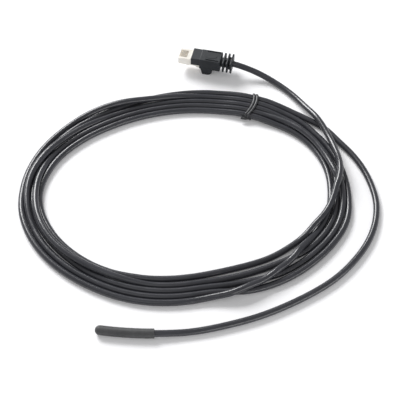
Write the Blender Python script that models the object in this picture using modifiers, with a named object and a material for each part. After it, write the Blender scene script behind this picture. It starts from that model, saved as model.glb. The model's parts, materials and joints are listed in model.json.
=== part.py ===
"""Temperature probe for an equipment rack: a sensing head on a round lead, coiled, tied and ended in a plug.

Metres, +Z up. The origin is on the floor under the middle of the sensing head. +X runs along the head
to its lead. The lead's coil and its modular plug lie on the same floor, towards +Y.
"""

import math

import bmesh
import bpy
import numpy as np
from mathutils import Matrix, Vector

MM = 0.001

# Fits between pieces that touch
TOUCH_GAP = 0.3 * MM
BLADE_CLEARANCE = 0.15 * MM

# The lead
CORD_DIAMETER = 5.0 * MM
CORE_DIAMETER = 0.9 * MM

# The sensing head, from its tip to the mouth that its lead leaves
HEAD_LENGTH = 42.4 * MM
HEAD_BEND_RADIUS = 250.0 * MM
SLEEVE_WALL = 0.75 * MM
SLEEVE_LIP_OPENING = 2.4 * MM
SLEEVE_EDGE_ROUND = 0.25 * MM
JACKET_GRIP = 12.0 * MM
RESIN_LENGTH = 9.0 * MM
RESIN_DIMPLE = 0.5 * MM
BEAD_DIAMETER = 2.2 * MM
BEAD_LENGTH = 3.2 * MM
BEAD_SETBACK = 4.0 * MM
LEG_DIAMETER = 0.5 * MM
LEG_PITCH = 1.2 * MM
SPLICE_LENGTH = 7.0 * MM
SPLICE_WALL = 0.3 * MM
SPLICE_SETBACK = 17.0 * MM
PAIR_PITCH = 2.5 * MM

# The coil: (angle in degrees, inner and outer strand radius, height of the bundle), counted from +X
COIL_CENTRE = (56.0 * MM, 120.0 * MM)
COIL_STATIONS = (
    (0, 85.0, 100.6, 9.9),
    (8, 88.5, 102.0, 5.6),
    (15, 91.0, 103.8, 5.0),
    (30, 96.6, 107.6, 5.0),
    (43, 100.2, 110.0, 5.0),
    (51, 101.4, 111.8, 5.0),
    (57, 101.4, 117.4, 6.0),
    (73, 100.2, 119.6, 5.0),
    (90, 101.3, 122.0, 5.0),
    (105, 105.6, 124.4, 6.6),
    (120, 110.6, 128.0, 8.8),
    (135, 117.4, 137.4, 8.8),
    (150, 127.1, 146.8, 8.4),
    (165, 135.5, 151.9, 9.8),
    (180, 136.8, 151.0, 9.6),
    (195, 127.2, 144.2, 9.8),
    (210, 112.8, 130.6, 9.4),
    (225, 97.4, 117.0, 8.0),
    (240, 81.6, 105.2, 5.6),
    (255, 70.0, 94.0, 5.2),
    (270, 62.5, 85.0, 6.2),
    (285, 59.2, 83.0, 9.0),
    (300, 59.6, 83.2, 9.6),
    (315, 62.9, 85.8, 7.6),
    (330, 66.4, 89.9, 6.6),
    (345, 73.8, 95.5, 9.4),
)
COIL_RINGS = 120
COIL_CORNER_STEPS = 3

# The tie round the coil
TIE_ANGLE = 78.9
TIE_SLANT = 1.2
TIE_WIDTH = 2.0 * MM
TIE_THICKNESS = 1.0 * MM
TIE_TURNS = 2
TIE_PITCH = 2.35 * MM
TIE_WALL_FLAT = 0.4 * MM
TIE_BOW = 2.8 * MM
TIE_BOW_STEPS = 6
TIE_TAIL_LENGTH = 5.4 * MM
TIE_TAIL_SHIFT = 2.7 * MM
TIE_TAIL_LEAN = 0.6 * MM
TIE_TAIL_THICKNESS = 2.1 * MM
TIE_TAIL_TWIST = 1.0
TIE_LIFT_FADE = 26.0 * MM

# The modular plug, from its nose to the end of its boot
PLUG_NOSE = (14.3 * MM, 276.9 * MM)
PLUG_HEADING = -8.5
HOUSING_LENGTH = 21.5 * MM
HOUSING_WIDTH = 11.7 * MM
HOUSING_NOSE_LENGTH = 9.6 * MM
HOUSING_NOSE_HEIGHT = 6.6 * MM
HOUSING_STEP = 1.0 * MM
HOUSING_UNDERSIDE = -3.6 * MM
HOUSING_EDGE_ROUND = 0.3 * MM
CABLE_ENTRY_WIDTH = 8.6 * MM
CABLE_ENTRY_HEIGHT = 5.8 * MM
CABLE_ENTRY_START = 10.2 * MM
JACKET_START = 11.4 * MM
WIRE_SLOT_START = 1.2 * MM
WIRE_SLOT_HEIGHT = 1.5 * MM
WIRE_SLOT_WIDTH = 8.4 * MM
CLAMP_WINDOW_START = 12.4 * MM
CLAMP_WINDOW_LENGTH = 4.4 * MM
CLAMP_WINDOW_WIDTH = 6.2 * MM

CONTACT_COUNT = 8
CONTACT_PITCH = 1.02 * MM
CONTACT_THICKNESS = 0.4 * MM
CONTACT_START = 0.7 * MM
CONTACT_LENGTH = 6.2 * MM
CONTACT_TOP_SETBACK = 0.25 * MM
CONTACT_TOOTH_DEPTH = 0.6 * MM

LATCH_PIVOT = 2.3 * MM
LATCH_LENGTH = 17.2 * MM
LATCH_WIDTH = 6.2 * MM
LATCH_NECK_WIDTH = 3.4 * MM
LATCH_TAB_WIDTH = 5.2 * MM
LATCH_SHOULDER = 6.2 * MM
LATCH_TAB_START = 11.6 * MM
LATCH_THICKNESS = 1.3 * MM
LATCH_ROOT_DIAMETER = 2.0 * MM
LATCH_REST_ANGLE = 8.5

BOOT_WIDTH = 13.9 * MM
BOOT_HEIGHT = 10.0 * MM
BOOT_START = 18.1 * MM
BOOT_BODY_LENGTH = 17.8 * MM
BOOT_EDGE_ROUND = 0.7 * MM
COLLAR_START = 10.9 * MM
COLLAR_WALL = 0.5 * MM
COLLAR_SIDE_HEIGHT = 6.8 * MM
HOOD_SETBACK = 1.2 * MM
HOOD_DEPTH = 5.8 * MM
HOOD_LENGTH = 10.4 * MM
HOOD_FLAT_START = 1.5 * MM
HOOD_FLAT_LENGTH = 3.8 * MM
HOOD_SIDE_SETBACK = 0.15 * MM
HOOD_WALL = 1.1 * MM
HOOD_POCKET_LENGTH = 6.6 * MM
RIB_COUNT = 3
RIB_THICKNESS = 1.6 * MM
RIB_PITCH = 3.3 * MM
RIB_FIRST = 2.4 * MM
NECK_DIAMETER = 8.2 * MM
NECK_END_DIAMETER = 7.2 * MM
BRIDGE_WIDTH = 2.6 * MM
GROOVE_WIDTH = 1.3 * MM
GROOVE_DEPTH = 0.6 * MM
GROOVE_SETBACK = 1.1 * MM
GROOVE_MARGIN = 1.6 * MM
GRIP_PAD_RISE = 0.25 * MM
GRIP_PAD_LENGTH = 10.0 * MM
GRIP_PAD_WIDTH = 6.4 * MM

# Free stretches of the lead: points of its centre line in millimetres
PROBE_LEAD_POINTS = (
    (34.6, 2.3, 2.9),
    (45.1, 4.3, 2.5),
    (56.2, 7.1, 2.5),
    (73.8, 13.1, 2.5),
    (91.7, 20.5, 2.5),
    (109.9, 30.4, 2.5),
    (128.3, 42.7, 2.5),
    (147.5, 59.0, 2.5),
    (162.4, 77.9, 2.5),
    (173.3, 99.0, 2.5),
    (178.3, 120.0, 2.5),
    (178.4, 136.2, 2.5),
    (175.2, 151.4, 2.5),
    (168.9, 168.1, 2.5),
    (159.1, 184.4, 2.5),
    (147.2, 198.9, 2.5),
    (138.4, 209.0, 2.5),
    (131.2, 215.2, 2.5),
)
PLUG_LEAD_POINTS = (
    (66.6, 269.0, 9.6),
    (80.6, 266.0, 5.9),
    (94.2, 259.7, 3.0),
    (112.8, 243.0, 2.9),
    (122.1, 230.4, 4.6),
    (131.2, 216.4, 7.4),
    (140.0, 199.2, 8.0),
    (146.1, 183.1, 8.0),
    (149.8, 169.0, 8.0),
    (149.5, 157.4, 8.0),
    (147.1, 145.4, 8.0),
    (144.9, 139.0, 8.0),
)
CORD_POINT_SPACING = 12.5 * MM

# Worked out from the sizes above
CORD_RADIUS = CORD_DIAMETER / 2
SLEEVE_BORE_RADIUS = CORD_RADIUS + TOUCH_GAP
SLEEVE_RADIUS = SLEEVE_BORE_RADIUS + SLEEVE_WALL
LEG_RADIUS = LEG_DIAMETER / 2
CORE_RADIUS = CORE_DIAMETER / 2
SPLICE_BORE_RADIUS = CORE_RADIUS + TOUCH_GAP
SPLICE_MIDDLE = SPLICE_SETBACK + SPLICE_LENGTH / 2
JACKET_END = HEAD_LENGTH - JACKET_GRIP
HEAD_AXIS_HEIGHT = SLEEVE_RADIUS
HEAD_SWEEP = HEAD_LENGTH / HEAD_BEND_RADIUS
HEAD_SAGITTA = HEAD_BEND_RADIUS * (1 - math.cos(HEAD_SWEEP / 2))
HOUSING_NOSE_TOP = HOUSING_UNDERSIDE + HOUSING_NOSE_HEIGHT
HOUSING_REAR_TOP = HOUSING_NOSE_TOP + HOUSING_STEP
BOOT_BODY_END = BOOT_START + BOOT_BODY_LENGTH
BOOT_END = BOOT_BODY_END + RIB_FIRST + (RIB_COUNT - 1) * RIB_PITCH + RIB_THICKNESS / 2
BOOT_BOTTOM = -BOOT_HEIGHT / 2
PLUG_AXIS_HEIGHT = BOOT_HEIGHT / 2 + HOOD_DEPTH
WIRE_SLOT_BOTTOM = -WIRE_SLOT_HEIGHT / 2
CONTACT_SLOT_WIDTH = CONTACT_THICKNESS + 2 * BLADE_CLEARANCE
LATCH_PIVOT_HEIGHT = HOUSING_UNDERSIDE - TOUCH_GAP - LATCH_ROOT_DIAMETER / 2
TIE_LIFT = TIE_THICKNESS + TOUCH_GAP

parts = bpy.data.collections.new("temperature_probe")
cutters = bpy.data.collections.new("cutters")


def clear_scene():
    for old in list(bpy.data.objects):
        bpy.data.objects.remove(old, do_unlink=True)
    bpy.context.scene.collection.children.link(parts)
    bpy.context.scene.collection.children.link(cutters)


def material(name, color, roughness, metallic=0.0, transmission=0.0):
    made = bpy.data.materials.new(name)
    made.use_nodes = True
    shader = made.node_tree.nodes["Principled BSDF"]
    shader.inputs["Base Color"].default_value = (*color, 1.0)
    shader.inputs["Roughness"].default_value = roughness
    shader.inputs["Metallic"].default_value = metallic
    shader.inputs["Transmission Weight"].default_value = transmission
    return made


def add_object(name, mesh, finish, parent=None):
    made = bpy.data.objects.new(name, mesh)
    parts.objects.link(made)
    made.parent = parent
    if finish:
        made.data.materials.clear()
        made.data.materials.append(finish)
    return made


def mesh_from(name, bm):
    bmesh.ops.recalc_face_normals(bm, faces=bm.faces[:])
    mesh = bpy.data.meshes.new(name)
    bm.to_mesh(mesh)
    bm.free()
    return mesh


def smooth(mesh, angle=35.0):
    mesh.shade_smooth()
    mesh.set_sharp_from_angle(angle=math.radians(angle))


def evaluated_mesh(made):
    """The object's mesh with its modifiers applied and the loose caps of a curve welded."""
    bpy.context.view_layer.update()
    graph = bpy.context.evaluated_depsgraph_get()
    mesh = bpy.data.meshes.new_from_object(made.evaluated_get(graph), depsgraph=graph)
    bm = bmesh.new()
    bm.from_mesh(mesh)
    bmesh.ops.remove_doubles(bm, verts=bm.verts[:], dist=1e-6)
    bmesh.ops.recalc_face_normals(bm, faces=bm.faces[:])
    bm.to_mesh(mesh)
    bm.free()
    return mesh


def settle(made):
    """Replaces a curve, or an object with modifiers, by its finished mesh under the same name."""
    mesh = evaluated_mesh(made)
    name = made.name
    parent = made.parent
    matrix = made.matrix_world.copy()
    collection = made.users_collection[0]
    bpy.data.objects.remove(made, do_unlink=True)
    done = bpy.data.objects.new(name, mesh)
    collection.objects.link(done)
    done.parent = parent
    done.matrix_world = matrix
    return done


def hide_cutter(made):
    for home in list(made.users_collection):
        home.objects.unlink(made)
    cutters.objects.link(made)
    made.hide_render = True
    made.display_type = "WIRE"
    return made


def boolean(target, other, operation):
    modifier = target.modifiers.new(f"{operation.lower()}_{other.name}", "BOOLEAN")
    modifier.operation = operation
    modifier.object = hide_cutter(other)
    modifier.solver = "EXACT"


def box(name, low, high, finish=None, parent=None, bevel=0.0):
    """A cube primitive stretched between two corners, with its edges rounded if a bevel is given."""
    bm = bmesh.new()
    bmesh.ops.create_cube(bm, size=1.0)
    size = Vector(high) - Vector(low)
    bmesh.ops.scale(bm, vec=size, verts=bm.verts[:])
    bmesh.ops.translate(bm, vec=Vector(low) + size / 2, verts=bm.verts[:])
    made = add_object(name, mesh_from(name, bm), finish, parent)
    if bevel:
        rounding = made.modifiers.new("rounding", "BEVEL")
        rounding.width = bevel
        rounding.segments = 2
    return made


def extruded(name, outline, low, high, axis, finish=None, parent=None):
    """A flat outline filled as a 2D curve and extruded from low to high along the local Y or Z axis."""
    curve = bpy.data.curves.new(name, "CURVE")
    curve.dimensions = "2D"
    curve.fill_mode = "BOTH"
    curve.extrude = (high - low) / 2
    spline = curve.splines.new("POLY")
    spline.points.add(len(outline) - 1)
    for point, (a, b) in zip(spline.points, outline):
        point.co = (a, b, 0.0, 1.0)
    spline.use_cyclic_u = True
    made = add_object(name, curve, finish, parent)
    middle = (low + high) / 2
    if axis == "Y":
        made.matrix_local = Matrix.Translation((0, middle, 0)) @ Matrix.Rotation(math.pi / 2, 4, "X")
    else:
        made.matrix_local = Matrix.Translation((0, 0, middle))
    return settle(made)


def rod(name, start, end, radius_start, radius_end, finish=None, parent=None, sides=32):
    """A cylinder or cone between two points of the local X axis's direction."""
    bm = bmesh.new()
    start, end = Vector(start), Vector(end)
    bmesh.ops.create_cone(
        bm, cap_ends=True, segments=sides, radius1=radius_start, radius2=radius_end, depth=(end - start).length
    )
    turn = Vector((0, 0, 1)).rotation_difference(end - start).to_matrix().to_4x4()
    bmesh.ops.transform(bm, matrix=Matrix.Translation((start + end) / 2) @ turn, verts=bm.verts[:])
    return add_object(name, mesh_from(name, bm), finish, parent)


def turned(name, profile, finish, closed, sides=32):
    """A profile of (distance along X, radius) pairs, turned round the X axis by a Screw modifier."""
    bm = bmesh.new()
    points = [bm.verts.new((along, 0.0, radius)) for along, radius in profile]
    for first, second in zip(points, points[1:]):
        bm.edges.new((first, second))
    if closed:
        bm.edges.new((points[-1], points[0]))
    mesh = bpy.data.meshes.new(name)
    bm.to_mesh(mesh)
    bm.free()
    made = add_object(name, mesh, finish)
    screw = made.modifiers.new("turn", "SCREW")
    screw.axis = "X"
    screw.steps = sides
    screw.render_steps = sides
    screw.use_merge_vertices = True
    screw.merge_threshold = 1e-6
    return settle(made)


def arc(centre, radius, start, end, steps):
    """Points on an arc in a plane, with its angles in degrees."""
    return [
        (
            centre[0] + radius * math.cos(math.radians(start + (end - start) * k / steps)),
            centre[1] + radius * math.sin(math.radians(start + (end - start) * k / steps)),
        )
        for k in range(steps + 1)
    ]


def spline_through(points, spacing):
    """Evenly spaced points on a natural cubic spline through the given points."""
    known = np.array(points, float)
    knots = np.concatenate([[0.0], np.cumsum(np.linalg.norm(np.diff(known, axis=0), axis=1))])
    gaps = np.diff(knots)
    count = len(known)
    system = np.eye(count)
    target = np.zeros_like(known)
    for k in range(1, count - 1):
        system[k, k - 1 : k + 2] = gaps[k - 1], 2 * (gaps[k - 1] + gaps[k]), gaps[k]
        rise = (known[k + 1] - known[k]) / gaps[k] - (known[k] - known[k - 1]) / gaps[k - 1]
        target[k] = 6 * rise
    bend = np.linalg.solve(system, target)
    places = np.linspace(0.0, knots[-1], max(2, round(knots[-1] / spacing) + 1))
    spans = np.clip(np.searchsorted(knots, places) - 1, 0, count - 2)
    after = ((places - knots[spans]) / gaps[spans])[:, None]
    before = 1 - after
    width = gaps[spans][:, None] ** 2 / 6
    curved = (before**3 - before) * bend[spans] + (after**3 - after) * bend[spans + 1]
    return before * known[spans] + after * known[spans + 1] + width * curved


def tube(name, points, radius, finish, parent=None, fineness=2):
    """A round rod along the points: a POLY curve with a bevel and filled caps."""
    curve = bpy.data.curves.new(name, "CURVE")
    curve.dimensions = "3D"
    curve.bevel_depth = radius
    curve.bevel_resolution = fineness
    curve.use_fill_caps = True
    spline = curve.splines.new("POLY")
    spline.points.add(len(points) - 1)
    for point, place in zip(spline.points, points):
        point.co = (*place, 1.0)
    return add_object(name, curve, finish, parent)


def head_point(along, side=0.0, up=0.0):
    """Where a point of the straight head comes to lie once the head is bent; along counts from the tip."""
    turn = (along - HEAD_LENGTH / 2) / HEAD_BEND_RADIUS
    reach = HEAD_BEND_RADIUS - side
    return (
        reach * math.sin(turn),
        HEAD_BEND_RADIUS - reach * math.cos(turn) - HEAD_SAGITTA / 2,
        HEAD_AXIS_HEIGHT + up,
    )


def head_heading(along):
    turn = (along - HEAD_LENGTH / 2) / HEAD_BEND_RADIUS
    return Vector((math.cos(turn), math.sin(turn), 0.0))


def bend_with_head(made):
    """Lays a piece modelled straight along X onto the head's gentle bend."""
    for vertex in made.data.vertices:
        vertex.co = head_point(*vertex.co)
    smooth(made.data)
    return made


def make_sleeve(finish):
    """Shrunk tube with its front end drawn in to a lip; its profile is cut lengthwise so that it bends."""
    lip = SLEEVE_LIP_OPENING / 2
    middle = (SLEEVE_RADIUS, 0.0)
    outer_turn = 180 - math.degrees(math.asin(lip / SLEEVE_RADIUS))
    inner_turn = 180 - math.degrees(math.asin(lip / SLEEVE_BORE_RADIUS))
    edge = SLEEVE_EDGE_ROUND
    steps = 8
    lengthwise = np.linspace(SLEEVE_RADIUS, HEAD_LENGTH - edge, 9)
    profile = arc(middle, SLEEVE_RADIUS, outer_turn, 90, steps)
    profile += [(along, SLEEVE_RADIUS) for along in lengthwise[1:-1]]
    profile += arc((HEAD_LENGTH - edge, SLEEVE_RADIUS - edge), edge, 90, 0, 2)
    profile += [(HEAD_LENGTH, SLEEVE_BORE_RADIUS)]
    profile += [(along, SLEEVE_BORE_RADIUS) for along in lengthwise[-2:0:-1]]
    profile += arc(middle, SLEEVE_BORE_RADIUS, 90, inner_turn, steps)
    return bend_with_head(turned("probe_sleeve", profile, finish, closed=True))


def make_tip_resin(finish):
    """Cast plug behind the sleeve's lip, dimpled in front, with the blind hole that holds the bead."""
    radius = SLEEVE_BORE_RADIUS - TOUCH_GAP
    front = SLEEVE_RADIUS - radius
    end = front + RESIN_LENGTH
    bore = BEAD_DIAMETER / 2 + TOUCH_GAP
    bore_front = BEAD_SETBACK - TOUCH_GAP
    profile = [(front + RESIN_DIMPLE, 0.0)]
    profile += arc((SLEEVE_RADIUS, 0.0), radius, 158, 90, 6)
    profile += [(end, radius), (end, bore), (bore_front + bore / 2, bore), (bore_front, 0.0)]
    return bend_with_head(turned("tip_resin", profile, finish, closed=False, sides=24))


def make_bead(finish):
    bm = bmesh.new()
    bmesh.ops.create_uvsphere(bm, u_segments=16, v_segments=10, radius=0.5)
    bmesh.ops.scale(bm, vec=(BEAD_LENGTH, BEAD_DIAMETER, BEAD_DIAMETER), verts=bm.verts[:])
    bmesh.ops.translate(bm, vec=(BEAD_SETBACK + BEAD_LENGTH / 2, 0, 0), verts=bm.verts[:])
    return bend_with_head(add_object("sensing_bead", mesh_from("sensing_bead", bm), finish))


def make_head_wiring(leg_finish, splice_finish, core_finish):
    """Two bare legs from the bead, spliced to the lead's two cores."""
    bead_end = BEAD_SETBACK + BEAD_LENGTH
    resin_end = SLEEVE_RADIUS - (SLEEVE_BORE_RADIUS - TOUCH_GAP) + RESIN_LENGTH
    for number, side in ((1, -1), (2, 1)):
        near = side * LEG_PITCH / 2
        far = side * PAIR_PITCH / 2
        leg = (
            (bead_end + TOUCH_GAP, near),
            (resin_end + TOUCH_GAP, near),
            ((resin_end + SPLICE_SETBACK) / 2, (near + far) / 2),
            (SPLICE_SETBACK - TOUCH_GAP, far),
            (SPLICE_MIDDLE - TOUCH_GAP / 2, far),
        )
        route = [head_point(*place) for place in leg]
        tube(f"bead_leg_{number}", route, LEG_RADIUS, leg_finish, fineness=1)
        end = SPLICE_SETBACK + SPLICE_LENGTH
        outer = SPLICE_BORE_RADIUS + SPLICE_WALL
        profile = (
            (SPLICE_SETBACK, outer),
            (end, outer),
            (end, SPLICE_BORE_RADIUS),
            (SPLICE_SETBACK, SPLICE_BORE_RADIUS),
        )
        splice = turned(f"splice_sleeve_{number}", profile, splice_finish, closed=True, sides=16)
        for vertex in splice.data.vertices:
            vertex.co.y += far
        bend_with_head(splice)
        lengthwise = np.linspace(SPLICE_MIDDLE + TOUCH_GAP / 2, JACKET_END - TOUCH_GAP, 5)
        route = [head_point(along, far) for along in lengthwise]
        tube(f"probe_core_{number}", route, CORE_RADIUS, core_finish, fineness=1)


def make_probe_lead(finish):
    """The lead from inside the head, down to the floor and round to the coil."""
    inside = [head_point(along) for along in np.linspace(JACKET_END, HEAD_LENGTH, 4)]
    route = inside + [tuple(value * MM for value in point) for point in PROBE_LEAD_POINTS]
    tube("probe_lead", spline_through(route, CORD_POINT_SPACING), CORD_RADIUS, finish, fineness=3)


def coil_station(angle):
    """(inner radius, outer radius, height, lift) of the bundle at an angle in degrees."""
    table = np.array(COIL_STATIONS, float)
    table = np.vstack([table[-2:] - (360, 0, 0, 0), table, table[:2] + (360, 0, 0, 0)])
    angle %= 360
    k = int(np.clip(np.searchsorted(table[:, 0], angle, side="right") - 1, 1, len(table) - 3))
    share = (angle - table[k, 0]) / (table[k + 1, 0] - table[k, 0])
    radii = []
    for column in (1, 2):
        before, here, there, after = table[k - 1 : k + 3, column]
        steps = np.diff(table[k - 1 : k + 3, 0])
        rise_here = (there - before) / (steps[0] + steps[1]) * steps[1]
        rise_there = (after - here) / (steps[1] + steps[2]) * steps[1]
        radii.append(
            here * (2 * share**3 - 3 * share**2 + 1)
            + rise_here * (share**3 - 2 * share**2 + share)
            + there * (3 * share**2 - 2 * share**3)
            + rise_there * (share**3 - share**2)
        )
    eased = share * share * (3 - 2 * share)
    height = table[k, 3] + (table[k + 1, 3] - table[k, 3]) * eased
    away = abs((angle - TIE_ANGLE + 180) % 360 - 180)
    distance = math.radians(away) * (radii[0] + radii[1]) / 2 * MM
    flat = TIE_PITCH * TIE_TURNS
    fade = min(1.0, max(0.0, (distance - flat) / TIE_LIFT_FADE))
    lift = TIE_LIFT * (1 - fade * fade * (3 - 2 * fade))
    return radii[0] * MM, radii[1] * MM, height * MM, lift


def bundle_section(width, low, high, corner):
    """A rectangle with round corners, centred across the bundle, as (across, up) pairs."""
    half = width / 2
    outline = []
    for start, across, up in (
        (-90, half - corner, low + corner),
        (0, half - corner, high - corner),
        (90, corner - half, high - corner),
        (180, corner - half, low + corner),
    ):
        outline += arc((across, up), corner, start, start + 90, COIL_CORNER_STEPS)
    return outline


def coil_section(angle):
    """The bundle's outline at an angle, as points in space."""
    inner, outer, height, lift = coil_station(angle)
    width = outer - inner + CORD_DIAMETER
    middle = (inner + outer) / 2
    corner = min(height, CORD_DIAMETER) / 2 * 0.98
    turn = math.radians(angle)
    return [
        (
            COIL_CENTRE[0] + (middle + across) * math.cos(turn),
            COIL_CENTRE[1] + (middle + across) * math.sin(turn),
            up,
        )
        for across, up in bundle_section(width, lift, lift + height, corner)
    ]


def loft(name, rings, joined_ends):
    """A skin over closed rings of equal point counts, joined end to end or capped."""
    bm = bmesh.new()
    grid = [[bm.verts.new(place) for place in ring] for ring in rings]
    count = len(grid[0])
    last = len(grid) if joined_ends else len(grid) - 1
    for k in range(last):
        here, there = grid[k], grid[(k + 1) % len(grid)]
        for j in range(count):
            bm.faces.new((here[j], here[(j + 1) % count], there[(j + 1) % count], there[j]))
    if not joined_ends:
        bm.faces.new(grid[0])
        bm.faces.new(grid[-1])
    return mesh_from(name, bm)


def make_coil(finish):
    """The bundle of turns as one solid of its outer shape."""
    rings = [coil_section(360 * k / COIL_RINGS) for k in range(COIL_RINGS)]
    made = add_object("coil", loft("coil", rings, joined_ends=True), finish)
    smooth(made.data)


def beside_coil(shift, across, up):
    """A point given along the coil from the tie, across its bundle and up, kept beside the bundle's own width."""
    inner, outer, _, _ = coil_station(TIE_ANGLE)
    angle = TIE_ANGLE + math.degrees(2 * shift / (inner + outer))
    near, far, _, _ = coil_station(angle)
    radius = (near + far) / 2 + across * (far - near + CORD_DIAMETER) / (outer - inner + CORD_DIAMETER)
    turn = math.radians(angle)
    return Vector((COIL_CENTRE[0] + radius * math.cos(turn), COIL_CENTRE[1] + radius * math.sin(turn), up))


def make_tie(finish):
    """Flat wire-cored tie: a ribbon wound round the bundle, its two ends twisted together at the inner wall."""
    inner, outer, height, lift = coil_station(TIE_ANGLE)
    slope = math.tan(math.radians(TIE_SLANT))
    clear = TOUCH_GAP + TIE_THICKNESS / 2
    width = outer - inner + CORD_DIAMETER + 2 * clear
    corner = CORD_RADIUS + clear - TIE_WALL_FLAT / 2
    outline = np.array(bundle_section(width, TIE_THICKNESS / 2, lift + height + clear, corner))
    top = 2 * (COIL_CORNER_STEPS + 1)
    along_top = np.linspace(outline[top - 1], outline[top], TIE_BOW_STEPS + 1)[1:-1]
    outline = np.concatenate([outline[:top], along_top, outline[top:]])
    count = len(outline)
    first = 3 * (COIL_CORNER_STEPS + 1) - 1 + len(along_top)
    walked = np.concatenate([[0.0], np.cumsum(np.linalg.norm(np.roll(outline, -1, axis=0) - outline, axis=1))])
    rings = []
    for step in range(count * TIE_TURNS + 1):
        k = (first + step) % count
        before, here, after = outline[k - 1], outline[k], outline[(k + 1) % count]
        heading = (here - before) / np.linalg.norm(here - before) + (after - here) / np.linalg.norm(after - here)
        heading /= np.linalg.norm(heading)
        outward = np.array((heading[1], -heading[0])) * TIE_THICKNESS / 2
        laps = (step + first) // count + (walked[k] - walked[first]) / walked[-1]
        over_top = max(0.0, here[1] - corner) / (lift + height + clear - corner)
        bow = TIE_BOW * over_top * (1 - (2 * here[0] / width) ** 2)
        shift = (laps - TIE_TURNS / 2) * TIE_PITCH - slope * here[0] - bow
        ring = []
        for side, out in ((-1, -1), (1, -1), (1, 1), (-1, 1)):
            place = here + out * outward
            ring.append(beside_coil(shift + side * TIE_WIDTH / 2, place[0], place[1]))
        rings.append(ring)
    band = add_object("tie", loft("tie", rings, joined_ends=False), finish)

    tail_rings = []
    steps = 16
    half = TIE_TAIL_THICKNESS / 2
    wall = -(width + TIE_THICKNESS) / 2
    middle_height = (outline[first][1] + outline[first + 1][1]) / 2
    for k in range(steps + 1):
        turned_by = TIE_TAIL_TWIST * 2 * math.pi * k / steps
        shift = (k / steps - 0.5) * TIE_TAIL_LENGTH + TIE_TAIL_SHIFT - slope * wall
        lean = TIE_THICKNESS / 2 - half - TIE_TAIL_LEAN * k / steps
        ring = []
        for quarter in range(4):
            turn = turned_by + math.pi / 4 + quarter * math.pi / 2
            across = wall + lean + math.sqrt(2) * half * math.cos(turn)
            ring.append(beside_coil(shift, across, middle_height + math.sqrt(2) * half * math.sin(turn)))
        tail_rings.append(ring)
    boolean(band, add_object("tie_tail", loft("tie_tail", tail_rings, joined_ends=False), None), "UNION")


def make_plug_frame():
    """Empty at the nose of the plug, on its axis: local X runs to the lead, local Z up."""
    frame = bpy.data.objects.new("plug_frame", None)
    parts.objects.link(frame)
    frame.location = (*PLUG_NOSE, PLUG_AXIS_HEIGHT)
    frame.rotation_euler = (0.0, 0.0, math.radians(PLUG_HEADING))
    bpy.context.view_layer.update()
    return frame


def contact_side(number):
    return (number - (CONTACT_COUNT + 1) / 2) * CONTACT_PITCH


def make_housing(finish, frame):
    """Clear body: thinner nose, stepped rear, wire slot, contact slots, cable entry and clamp window."""
    half = HOUSING_WIDTH / 2
    slope = HOUSING_STEP
    chamfer = HOUSING_EDGE_ROUND
    outline = (
        (chamfer, HOUSING_UNDERSIDE),
        (HOUSING_LENGTH, HOUSING_UNDERSIDE),
        (HOUSING_LENGTH, HOUSING_REAR_TOP),
        (HOUSING_NOSE_LENGTH + slope, HOUSING_REAR_TOP),
        (HOUSING_NOSE_LENGTH, HOUSING_NOSE_TOP),
        (chamfer, HOUSING_NOSE_TOP),
        (0.0, HOUSING_NOSE_TOP - chamfer),
        (0.0, HOUSING_UNDERSIDE + chamfer),
    )
    housing = extruded("plug_housing", outline, -half, half, "Y", finish, frame)
    housing.data.materials.append(finish)
    past = 1.0 * MM
    entry = box(
        "cable_entry",
        (CABLE_ENTRY_START, -CABLE_ENTRY_WIDTH / 2, -CABLE_ENTRY_HEIGHT / 2),
        (HOUSING_LENGTH + past, CABLE_ENTRY_WIDTH / 2, CABLE_ENTRY_HEIGHT / 2),
        parent=frame,
    )
    boolean(housing, entry, "DIFFERENCE")
    slot = box(
        "wire_slot",
        (WIRE_SLOT_START, -WIRE_SLOT_WIDTH / 2, WIRE_SLOT_BOTTOM),
        (CABLE_ENTRY_START + past, WIRE_SLOT_WIDTH / 2, WIRE_SLOT_BOTTOM + WIRE_SLOT_HEIGHT),
        parent=frame,
    )
    boolean(housing, slot, "DIFFERENCE")
    window = box(
        "clamp_window",
        (CLAMP_WINDOW_START, -CLAMP_WINDOW_WIDTH / 2, CABLE_ENTRY_HEIGHT / 2 - past),
        (CLAMP_WINDOW_START + CLAMP_WINDOW_LENGTH, CLAMP_WINDOW_WIDTH / 2, HOUSING_REAR_TOP + past),
        parent=frame,
    )
    boolean(housing, window, "DIFFERENCE")
    for number in range(1, CONTACT_COUNT + 1):
        side = contact_side(number)
        slit = box(
            f"contact_slit_{number}",
            (
                CONTACT_START - BLADE_CLEARANCE,
                side - CONTACT_SLOT_WIDTH / 2,
                WIRE_SLOT_BOTTOM + WIRE_SLOT_HEIGHT - past / 2,
            ),
            (
                CONTACT_START + CONTACT_LENGTH + BLADE_CLEARANCE,
                side + CONTACT_SLOT_WIDTH / 2,
                HOUSING_NOSE_TOP + past,
            ),
            parent=frame,
        )
        boolean(housing, slit, "DIFFERENCE")


def make_contacts(finish, frame):
    """Eight plated blades: round front shoulder above, three insulation teeth below."""
    top = HOUSING_NOSE_TOP - CONTACT_TOP_SETBACK
    bottom = WIRE_SLOT_BOTTOM + WIRE_SLOT_HEIGHT
    start = CONTACT_START
    end = CONTACT_START + CONTACT_LENGTH
    shoulder = 0.8 * MM
    tooth = CONTACT_LENGTH / 6
    outline = arc((start + shoulder, top - shoulder), shoulder, 180, 90, 4)
    outline += [(end, top), (end, bottom)]
    for k in range(3):
        root = end - 2 * k * tooth
        outline += [(root - tooth / 2, bottom - CONTACT_TOOTH_DEPTH), (root - tooth, bottom)]
        if k < 2:
            outline += [(root - 2 * tooth, bottom)]
    outline += [(start, bottom)]
    for number in range(1, CONTACT_COUNT + 1):
        side = contact_side(number)
        blade = extruded(
            f"contact_{number}",
            outline,
            side - CONTACT_THICKNESS / 2,
            side + CONTACT_THICKNESS / 2,
            "Y",
            finish,
            frame,
        )
        blade.data.materials.append(finish)


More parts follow.
